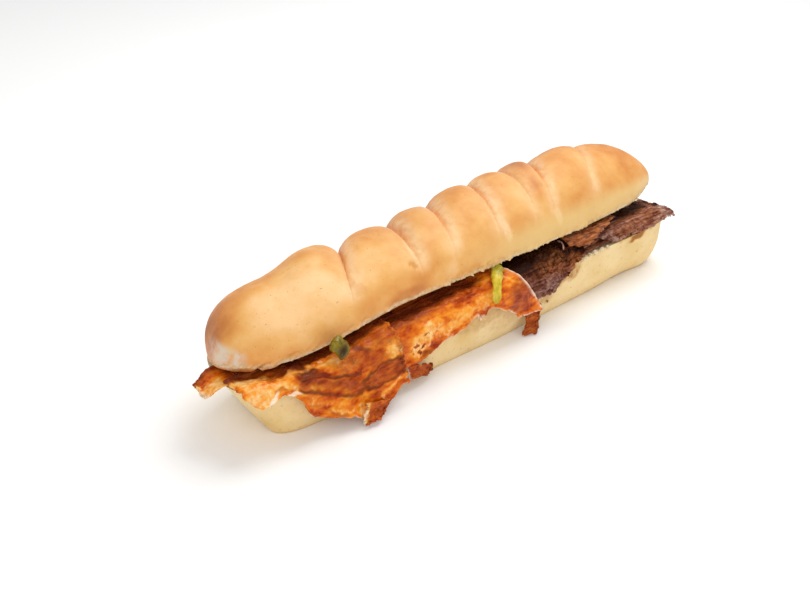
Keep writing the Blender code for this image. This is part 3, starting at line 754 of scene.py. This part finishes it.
def turkey_front():
    lower_edge = (
        (-0.1545, 0.0316), (-0.152, 0.0306), (-0.147, 0.0264), (-0.1435, 0.0262), (-0.1372, 0.0272),
        (-0.1314, 0.0263), (-0.1268, 0.0226), (-0.1246, 0.0168), (-0.1197, 0.0119), (-0.1139, 0.0092),
        (-0.1066, 0.0076), (-0.1018, 0.0058), (-0.098, 0.0042), (-0.0843, 0.005), (-0.0714, 0.0108),
    )
    points, u, v = drape(
        (270, 120), TURKEY_THICKNESS, (-0.152, -0.153), (-0.0715, -0.069), -0.0135, lower_edge,
        ((-0.15, 0.0012), (-0.14, 0.0004), (-0.085, 0.0004), (-0.076, 0.003)),
        ((-0.15, 62), (-0.13, 70), (-0.118, 76), (-0.1, 70), (-0.082, 73), (-0.066, 80)), 0.0014,
    )
    points = torn_sides(points, u, 1.2, 2.2)
    x, z = waver(points, 6, 1.2)
    upper_fold = ((-126, 33), (-120, 31.2), (-113.8, 29.3), (-104, 26.3), (-94.4, 23.3))
    lower_fold = ((-126, 27.5), (-120.5, 23.6), (-115.7, 21), (-104.2, 16.8), (-96.9, 15.4), (-91, 16))
    between_folds = ((-124, 30.5), (-112, 25), (-97, 19))
    tan_band = ((-121, 26.5), (-113, 22.6), (-102, 18.6))
    hem = ((-123, 20.5), (-115.5, 15), (-107, 11.5), (-100, 9.5), (-90, 8))
    shelf = ((-148, 29.5), (-138, 32), (-126, 35.5), (-108, 34), (-96, 30))
    edge_line = points[..., 1] + 0.025 + 0.0008 * grain(points, 0.004, 2)
    # Painted shadow of the lid, over the part of the slice under its edge and the inner part of the left end;
    # it joins the brown and dark marks below
    under_lid = np.maximum(
        ease(edge_line / 0.0022) * ease((x + 0.138) / 0.008),
        ease((0.3 - v) / 0.14) * ease((-0.128 - x) / 0.006),
    )
    oval = blot(x, z, (-79.5, 19.6), (13, 4.4), 12)
    oval_edge = bell((oval - 0.45) / 0.25)
    swells = (
        (1.3, between_folds, 9), (-1.3, upper_fold, 3.6), (-1.3, lower_fold, 3.6),
        (1.0, hem, 6), (1.1, shelf, 6),
    )
    height = (
        marks(x, z, (), swells, sum) + 1.4 * oval - 1.1 * oval_edge
        + 0.8 * grain(points, 0.012, 3) + 0.35 * ridges(points, 0.006, 2, stretch=(2, 1, 1))
        + 0.08 * ridges(points, 0.0022, 2, stretch=(3, 1, 1))
    ) * ease(v * 6) * ease(1.3 - v)
    height = np.maximum(height, -0.25 - 2 * ease((0.034 - points[..., 2]) / 0.003))
    pale = marks(x, z, (
        (0.62, (-74.5, 29), (5, 4.2)), (0.85, (-146, 30), (8, 4.5), 10),
        (0.85, (-147, 27.5), (4, 1.4), 10), (0.8, (-97.5, 6.5), (3, 2)),
    ), (
        # the broad stroke along the shelf is a painted highlight on its bulge
        (0.65, ((-141, 33.5), (-134, 31), (-127, 28)), 7), (0.42, shelf, 14), (0.45, hem, 11),
        (0.6, ((-132, 33.5), (-124, 34.5), (-110, 32)), 4), (0.2, tan_band, 2.4),
        (0.7, ((-112, 12.5), (-104, 9.6), (-96, 10)), 4), (0.7, ((-86, 10), (-78, 12.5), (-71, 16)), 3),
    ))
    sear = marks(x, z, (
        (0.75, (-92, 29), (14, 5), -10), (0.6, (-78, 35), (12, 3)), (0.7, (-69, 30), (3, 4)),
    ), (
        (1.0, between_folds, 11), (0.6, ((-122, 19), (-114, 12.5), (-106, 8.5)), 3),
        (0.6, ((-138, 30), (-128, 28.5)), 2.0),
    ))
    sear = np.maximum.reduce([sear, oval, under_lid]) * (1 - 0.2 * stroke(x, z, tan_band, 2.6))
    # lighter on top of the raised oval: painted highlight
    sear = sear * (1 - 0.45 * blot(x, z, (-79, 20.3), (5, 1.6), 12))
    # Dark marks, with painted shade in the grooves of both folds, round the raised oval and in the lid's
    # painted shadow
    fold = marks(x, z, (
        (0.9, (-120, 31.6), (6.5, 1.7), -18), (0.6, (-89, 33), (4, 1.2), -10), (0.75, (-69, 22), (3.2, 3.4)),
    ), ((0.9, upper_fold, 2.8), (0.8, lower_fold, 2.8)))
    fold = np.maximum.reduce([fold, 0.8 * oval_edge, 0.6 * under_lid])
    patchy = ease(0.6 + 2.5 * grain(points, 0.004, 2, seed=5.0))
    fleck = marks(x, z, ((1.0, (-140.5, 28.2), (3.4, 1.1), 18), (0.9, (-129, 26.6), (3.2, 1), -8)))
    rim = np.maximum(fleck, 0.6 * cut_edge(points, v, 0.0008) * patchy * ease((x + 0.112) / 0.012))
    masks = {"pale": pale * (1 - fold), "sear": sear, "fold": fold, "rim": rim}
    return thin_slice("turkey_front_slice", points, height, TURKEY_THICKNESS, **masks)


def turkey_middle():
    lower_edge = (
        (-0.074, 0.014), (-0.056, 0.0145), (-0.048, 0.0165), (-0.04, 0.0195), (-0.03, 0.0205),
        (-0.022, 0.0235), (-0.0135, 0.025), (-0.0087, 0.0263), (-0.0007, 0.0226), (0.0076, 0.0172),
        (0.0152, 0.0142), (0.027, 0.0136),
    )
    points, u, v = drape(
        (260, 80), TURKEY_THICKNESS, (-0.072, -0.0735), (0, 0.0268), -0.008, lower_edge,
        ((-0.012, 0.0004), (-0.003, 0.0029)), ((-0.07, 84), (0, 88)), 0.0003,
        ((-16.5, 3.2), (-15, 1.6), (-13.2, 2.4), (8.5, 1.8), (10, 1.2)),
    )
    x, z = waver(points, 5, 1.4)
    ridge = ((-60, 33), (-40, 32), (-22, 33.5), (-8, 35))
    height = (
        0.7 * stroke(x, z, ridge, 7) + 0.7 * grain(points, 0.01, 3)
        + 0.3 * ridges(points, 0.0055, 2, stretch=(2, 1, 1))
        + 0.08 * ridges(points, 0.0022, 2, stretch=(3, 1, 1))
    ) * ease(v * 6) * ease((1 - v) * 8 + 0.2)
    pale = marks(x, z, (
        (0.75, (-55, 23), (9, 5.5), 25), (0.55, (-44, 27), (5, 4.5)), (0.8, (-50, 28.5), (4.5, 3), 20),
        (0.45, (-25, 28), (22, 5), 12), (0.6, (-38, 24), (5, 1.8), 20),
    ), ((0.5, ((1, 38), (7, 36), (12, 32)), 3.6),))
    left = ease((-0.004 - x) / 0.01)
    red_holes = ease((grain(points, 0.0022, 2, seed=8.0) - 0.28) / 0.1) * blot(x, z, (-54, 22), (8, 4.5), 25)
    sear = blot(x, z, (9.5, 26.5), (7.5, 8))
    # left of the middle, the band along the inner edge under the lid is made brown and dark: painted shade
    sear = np.maximum.reduce([sear, ease((0.46 - v) / 0.14) * left, red_holes])
    pale = pale * (1 - red_holes)
    fold = marks(x, z, ((0.15, (7, 29.5), (2.5, 3)), (0.6, (-52, 17), (4, 1.5))))
    fold = np.maximum.reduce([fold, 0.2 * red_holes, 0.8 * ease((0.36 - v) / 0.1) * left])
    side = ease((u - 0.972) / 0.022) * (v > 0.2)
    patchy = ease(0.85 + 2.0 * grain(points, 0.004, 2, seed=5.0))
    rim = np.maximum(cut_edge(points, v, 0.0017) * ease((x + 0.048) / 0.02), side) * patchy
    rim = 0.85 * np.maximum(rim, blot(x, z, (-15, 20.5), (4, 3)))
    masks = {"pale": pale * (1 - fold), "sear": sear, "fold": fold, "rim": rim}
    return thin_slice("turkey_middle_slice", points, height, TURKEY_THICKNESS, **masks)


def turkey_tip():
    u, v = grid(100, 60)
    x = mix(-0.1432, mix(-0.159, -0.1618, np.sin(math.pi * mix(0.15, 0.75, v))), u)
    y = mix(0.0053 - 0.0035 * u * u, -0.0112 + 0.0032 * u * u, v)
    sag = 0.003 * ease((u - 0.4) / 0.6) - 0.0006 * ease(u / 0.4)
    points = stack(x, y, mix(0.0311, 0.0294, v) - sag)
    ragged = 0.0014 * grain(points, 0.003, 3)
    points[..., 0] += ragged * ease((u - 0.8) / 0.2)
    points[..., 1] += 0.5 * ragged * u
    relief = (0.5 * grain(points, 0.006, 3) + 0.35 * ridges(points, 0.003, 2)) * ease((u - 0.35) * 4)
    edge = ease((u - 0.84) / 0.1)
    bare = 0.7 * ease((v - 0.35) / 0.3) * ease((u - 0.25) / 0.3)
    return thin_slice(
        "turkey_tip_slice", points, relief, TIP_THICKNESS,
        pale=np.maximum(edge * ease((v - 0.1) / 0.3), bare),
        # brown and dark toward the back and the inner end, under the lid: painted shade
        sear=np.maximum(ease((0.34 - v) / 0.22), 0.8 * ease((0.35 - u) / 0.2)),
        fold=np.maximum(0.6 * ease((0.14 - v) / 0.12), 0.5 * ease((0.2 - u) / 0.15)),
        rim=0.7 * edge * ease((v - 0.55) / 0.25),
    )


def turkey_flap():
    u, v = grid(46, 46)
    x = mix(-0.0965 + 0.0135 * u, -0.0995 + 0.0115 * u, v)
    z = mix(0.012 - 0.003 * u, 0.0016 + 0.0018 * u, v)
    points = stack(x, -0.0405 - 0.002 * v - 0.001 * np.sin(math.pi * u), z)
    points[..., 0] += 0.0012 * grain(points, 0.003, 3)
    points[..., 2] += 0.0009 * grain(points, 0.0025, 3, seed=4.0) * v
    relief = 0.6 * grain(points, 0.004, 3) + 0.4 * ridges(points, 0.003, 2)
    white = ease((0.16 - u) / 0.12)
    return thin_slice(
        "turkey_flap_slice", points, relief, TURKEY_THICKNESS,
        pale=0.8 * white,
        sear=0.62 - 0.4 * white,
        fold=0.4 * blot(x, z, (-90, 6), (3, 2)),
        rim=0.9 * ease((0.1 - u) / 0.06) * ease((v - 0.2) / 0.3),
    )


def turkey_scrap():
    u, v = grid(50, 32)
    z = mix(0.0138 - 0.005 * u, 0.0062 - 0.001 * u, v)
    points = stack(mix(-0.0635, -0.0475, u), -0.0302 - 0.001 * np.sin(math.pi * u) - 0.001 * v, z)
    points[..., 2] += 0.0011 * grain(points, 0.003, 3)
    relief = 0.5 * grain(points, 0.004, 3) + 0.3 * ridges(points, 0.003, 2)
    return thin_slice(
        "turkey_scrap_slice", points, relief, SCRAP_THICKNESS,
        pale=0.6 * ease((0.12 - v) / 0.12),
        sear=0.9,
        fold=0.6 * ease((u - 0.8) / 0.2),
        rim=0.6 * ease((0.06 - u) / 0.05),
    )


def beef_front():
    lower_edge = (
        (0, 0.023), (0.02, 0.0205), (0.025, 0.0187), (0.0335, 0.0187), (0.0395, 0.0203),
        (0.043, 0.0235), (0.0483, 0.0262), (0.052, 0.03), (0.0598, 0.0312), (0.064, 0.0335),
    )
    points, u, v = drape(
        (170, 90), BEEF_THICKNESS, (-0.0005, 0.002), (0.064, 0.063), -0.008, lower_edge,
        ((0, 0.0004), (0.06, 0.0004)), ((0, 89), (0.06, 86)),
    )
    x, z = waver(points, 4, 1.2)
    free = ease((points[..., 0] - 0.022) / 0.008) * ease(v * 5)
    height = 0.9 * grain(points, 0.007, 4) + 0.9 * ridges(points, 0.0045, 3) + 0.4 * ridges(points, 0.0018, 2)
    # The light mask rises toward the bottom as painted light and drops toward the lid as painted shade; the
    # dark colour at the top by the lid is painted shade too
    light = np.maximum(0.9 * ease((0.027 - z) / 0.008), 0.6 * blot(x, z, (36, 27), (7, 4)))
    return thin_slice(
        "beef_front_slice", points, height * free, BEEF_THICKNESS,
        light=light - 0.9 * ease((z - 0.031) / 0.005),
        red=marks(x, z, ((0.55, (38, 33), (12, 5)), (0.8, (55, 30), (6, 5)))),
        fold=0.7 * ease((z - 0.035) / 0.002) * ease((0.05 - x) / 0.01),
    )


def beef_curl():
    u, v = grid(110, 40)
    x = mix(mix(0.056, 0.052, v), mix(0.096, 0.0985, v), u)
    end = along(x, (
        (0.052, 0.0078), (0.0575, 0.01), (0.066, 0.0106), (0.076, 0.0072), (0.087, 0.0036), (0.0985, -0.002),
    ))
    end = end + 0.0008 * grain(stack(x, 0, 0), 0.003, 3)
    points = draped(x, mix(-0.013, end, v), CURL_LIFT + 0.0004 * v, math.radians(70))
    relief = 0.3 * grain(points, 0.005, 3) + 0.3 * ridges(points, 0.003, 3, stretch=(2.5, 1, 1))
    return thin_slice(
        "beef_curl_slice", points, relief * ease(v * 3), SCRAP_THICKNESS,
        light=0.4 + 0.6 * ease((u - 0.93) / 0.07),
        red=0.95 * ease((0.97 - u) / 0.06) * ease((v - 0.1) / 0.3),
        # dark toward its inner end, under the lid: painted shade
        fold=0.5 * ease((0.2 - v) / 0.2),
    )


def beef_end():
    u, v = grid(210, 70)
    x = mix(0.0675, 0.1452, u)
    front = along(x, (
        (0.068, -0.0225), (0.0755, -0.0245), (0.084, -0.0275), (0.094, -0.0292), (0.112, -0.0292),
        (0.124, -0.0285), (0.135, -0.0262), (0.1455, -0.025),
    ))
    back = along(x, ((0.068, -0.014), (0.12, -0.009), (0.149, 0.001)))
    ragged = 0.0012 * grain(stack(x, 0, 0), 0.004, 3)
    y = mix(back, front + ragged, v)
    droop = 0.0022 * ease((x - 0.13) / 0.015)
    points = stack(x, y, rim_height(x, y) + LAYER_GAP + BEEF_THICKNESS / 2 - droop)
    points = torn_sides(points, u, 0.0, 1.0)
    streaks = grain(points, 0.0015, 3, stretch=(9, 1, 1))
    strands = ridges(points, 0.003, 2, stretch=(9, 1, 1))
    height = (0.4 * streaks + 0.6 * strands + 0.6 * grain(points, 0.01, 2)) * ease(u * 12)
    lit = 0.4 * ease((v - 0.86) / 0.1) + 0.5 * ease((u - 0.7) / 0.2) * ease((v - 0.3) / 0.3)
    return thin_slice(
        "beef_end_slice", points, height, BEEF_THICKNESS,
        light=0.4 + 0.8 * streaks + 0.5 * strands + lit,
        red=0.5 * blot(points[..., 0], points[..., 2], (115, 34), (26, 4)),
        # near-black toward the back, under the lid: painted shade
        fold=0.9 * ease((0.54 - v) / 0.28) * ease((1.05 - u) / 0.3),
    )


def beef_strip():
    u, v = grid(36, 52)
    x = mix(0.0205 + 0.0095 * u, 0.015 + 0.007 * u, v)
    points = stack(x, mix(-0.0296, -0.0318 - 0.0035 * u, v), mix(0.0138, 0.0012, v))
    points[..., 0] += 0.001 * grain(points, 0.003, 3) + 0.0006 * np.sin(7 * v) * (u - 0.5)
    points[..., 2] += 0.001 * grain(points, 0.002, 2, seed=6.0) * v
    relief = 0.6 * grain(points, 0.004, 3) + 0.5 * ridges(points, 0.003, 2)
    masks = {"pale": 0.15, "sear": 0.9, "fold": 0.4 * ease((u - 0.7) / 0.3), "rim": 0.0}
    return thin_slice("hanging_strip", points, relief, SCRAP_THICKNESS, **masks)


# Pickled chilli and sinew


def strip_over(name, cells, path, half_size, fullness, taper=1.0, hollow=lambda t, turn: 0.0):
    """A rounded strip along path(t), which gives points and the way off the surface there."""
    rings, around = cells
    half_width, half_height = half_size
    t = spread(0.0, 1.0, rings)
    centre, off = path(t)
    ahead = np.gradient(centre, axis=0)
    side = np.cross(ahead, off)
    side /= np.linalg.norm(side, axis=1, keepdims=True)
    angle = (np.arange(around) / around * math.tau)[None, :, None]
    size = (rounded(2 * t - 1, fullness, 2.0) * mix(1.0, taper, t))[:, None, None]
    section = side[:, None] * half_width * np.cos(angle) + off[:, None] * half_height * np.sin(angle)
    points = centre[:, None] + section * size
    bumps = grain(points, 0.004, 2) * 0.2 * half_width * size[..., 0]
    points = points + section / np.linalg.norm(section, axis=-1, keepdims=True) * bumps[..., None]
    return closed_skin(name, points, hollow=hollow(t[:, None], angle[..., 0]))


def drape_path(x_line, s_line, lift, slope, bow=0.0, hook=1.0):
    """Path over the shoulder from one X and arc length to another, bowed along X or hooked at its start."""

    def path(t):
        x, s = mix(*x_line, t**hook) + bow * np.sin(math.pi * t), mix(*s_line, t)
        here = draped(x, s, lift, slope)
        off = draped(x, s, lift + 0.001, slope) - here
        return here, off / np.linalg.norm(off, axis=1, keepdims=True)

    return path


def chilli_right():
    path = drape_path((0.0048, -0.0112), (0.0022, 0.02), 0.0072, math.radians(84), 0.0, 0.6)
    return strip_over(
        "chilli_strip", (70, 40), path, (0.0031, 0.0016), 10.0, 0.62,
        # darker toward the top, where it comes out under the lid, and at its tip
        lambda t, turn: 0.85 * ease((0.4 - t) / 0.25) + 0.5 * ease((t - 0.9) / 0.1),
    )


def chilli_left():
    top, bottom = np.array((-0.1062, -0.0289, 0.0442)), np.array((-0.1008, -0.0328, 0.0362))
    off = np.array((0, -0.75, 0.65)) / math.hypot(0.75, 0.65)

    def path(t):
        return mix(top, bottom, t[:, None]), np.tile(off, (len(t), 1))

    # painted shade inside the chunk's open tube end
    def hollow(t, turn):
        return bell((t - 0.66) / 0.3) * bell(np.sin((turn - 1.2) / 2) / 0.5)

    return strip_over("chilli_chunk", (50, 40), path, (0.0043, 0.0028), 5.0, 1.0, hollow)


def sinew():
    path = drape_path((0.0512, 0.0478), (-0.001, 0.007), 0.0037, math.radians(86), 0.0014)
    return strip_over("sinew_strand", (40, 14), path, (0.0005, 0.0005), 12.0)


# Crumbs


def wall_at(x, z):
    """Point of the lower half's front wall at a place along X and a height."""
    share = share_between(x, BASE_START, BASE_END)
    down = ((BASE_HEIGHT - z) / (BASE_UNDERCUT * BASE_HEIGHT)) ** (1 / BASE_WALL_CURVE)
    across = math.sqrt(1 - down**2)
    y = -base_width(x) * across ** along(x, BASE_ROUNDING)
    return Vector((x * (1 - TUCK_RIGHT * (1 - z / BASE_HEIGHT) * share**4), y, z))


def crumbs(name, places, masks):
    """Torn crumbs on the front wall, in one mesh: place along X, height and size of each in millimetres."""
    solid = bmesh.new()
    for x, z, size in places:
        centre = wall_at(x * MM, z * MM)
        ball = bmesh.ops.create_icosphere(solid, subdivisions=3, radius=size * MM / 2)
        for vert in ball["verts"]:
            lump = noise.fractal((vert.co + centre) / (0.9 * MM), 0.6, 2.0, 3)
            vert.co = centre + vert.co * (1 + 0.55 * lump)
    verts = np.array([vert.co for vert in solid.verts])
    faces = [[vert.index for vert in face.verts] for face in solid.faces]
    solid.free()
    return mesh_piece(name, verts, faces, {mask: np.full(len(verts), value) for mask, value in masks.items()})


def bread_crumbs():
    places = (
        (62.3, 27.4, 1.7), (64.9, 28.8, 2.9), (66.6, 28.0, 1.6), (69.0, 28.9, 2.3), (72.9, 28.7, 3.3),
        (75.1, 28.1, 1.5), (78.3, 28.9, 2.7), (80.0, 28.3, 1.7), (83.6, 28.8, 2.4),
    )
    return crumbs("torn_crumb", places, {"crumb": 1.0})


def beef_crumbs():
    places = ((39.1, 15.5, 1.3), (37.9, 11.0, 1.1), (40.6, 19.0, 1.0), (34.5, 16.2, 0.8), (52.5, 21.8, 0.9))
    return crumbs("beef_crumb", places, {"red": 0.7})


# Studio


def studio():
    bpy.ops.mesh.primitive_plane_add(size=6)
    floor = bpy.context.object
    floor.name = "floor"
    made, _, shader, _, _ = finish("white_paper", ())
    feed(shader, {"Base Color": (1.0, 1.0, 0.995, 1.0), "Roughness": 0.9, "Specular IOR Level": 0.1})
    floor.data.materials.append(made)
    world = bpy.data.worlds.new("studio")
    world.use_nodes = True
    bpy.context.scene.world = world
    feed(world.node_tree.nodes["Background"], {"Color": "#FFFFFF", "Strength": 0.66})
    middle = Vector((0, 0, 0.04))
    lamps = (("overhead", (0.38, 0.09, 0.8), 0.6, 4.4), ("front_fill", (-0.6, -0.75, 0.7), 0.7, 2.6))
    for name, place, size, watts in lamps:
        lamp = bpy.data.lights.new(name, "AREA")
        lamp.size = size
        lamp.energy = watts
        holder = bpy.data.objects.new(name, lamp)
        holder.location = place
        holder.rotation_euler = (middle - Vector(place)).to_track_quat("-Z", "Y").to_euler()
        bpy.context.scene.collection.objects.link(holder)


def camera():
    data = bpy.data.cameras.new("photo_camera")
    data.sensor_width = 36
    data.lens = FOCAL_PIXELS / PHOTO_WIDTH * data.sensor_width
    data.clip_start = 0.01
    holder = bpy.data.objects.new("photo_camera", data)
    bpy.context.scene.collection.objects.link(holder)
    ahead = Vector((math.cos(CAMERA_AZIMUTH), math.sin(CAMERA_AZIMUTH), -math.tan(CAMERA_PITCH))).normalized()
    holder.location = CAMERA_PLACE
    holder.rotation_euler = ahead.to_track_quat("-Z", "Y").to_euler()
    bpy.context.scene.camera = holder


def dress():
    """Makes every piece, gives it its finish, and lets it stand for its CAD node, if it has one."""
    turkey, beef = spiced_turkey(), roast_beef()
    green = pickled_chilli("pickled_chilli_green", "#94800C", "#624E04", "#3A2000")
    yellow = pickled_chilli("pickled_chilli_yellow", "#E2C63C", "#BAA626", "#8A8412")
    groups = (
        (baked_crust(), "bread_crust", {"roll_lid": roll_lid()}),
        (pale_crust(), "bread_base", {"roll_base": roll_base(), "": bread_crumbs()}),
        (turkey, "roast_turkey", {
            "turkey_pile": pile("turkey_layers", TURKEY_PILE), "turkey_front": turkey_front(),
            "turkey_middle": turkey_middle(), "turkey_tip": turkey_tip(), "turkey_flap": turkey_flap(),
            "turkey_scrap": turkey_scrap(),
        }),
        (beef, "roast_beef", {
            "beef_pile": pile("beef_layers", BEEF_PILE), "beef_front": beef_front(), "beef_end": beef_end(),
            "beef_curl": beef_curl(), "": beef_crumbs(),
        }),
        (turkey, "roast_beef", {"beef_strip": beef_strip()}),
        (connective_tissue(), "sinew", {"sinew": sinew()}),
        (green, "chilli", {"chilli_left": chilli_left()}),
        (yellow, "chilli", {"chilli_right": chilli_right()}),
    )
    for made, slot, pieces in groups:
        for cad_node, piece in pieces.items():
            piece.data.materials.append(made)
            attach(piece, "root")
            if cad_node:
                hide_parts(cad_node)


dress()
studio()
camera()
bpy.context.scene.view_settings.view_transform = "Standard"
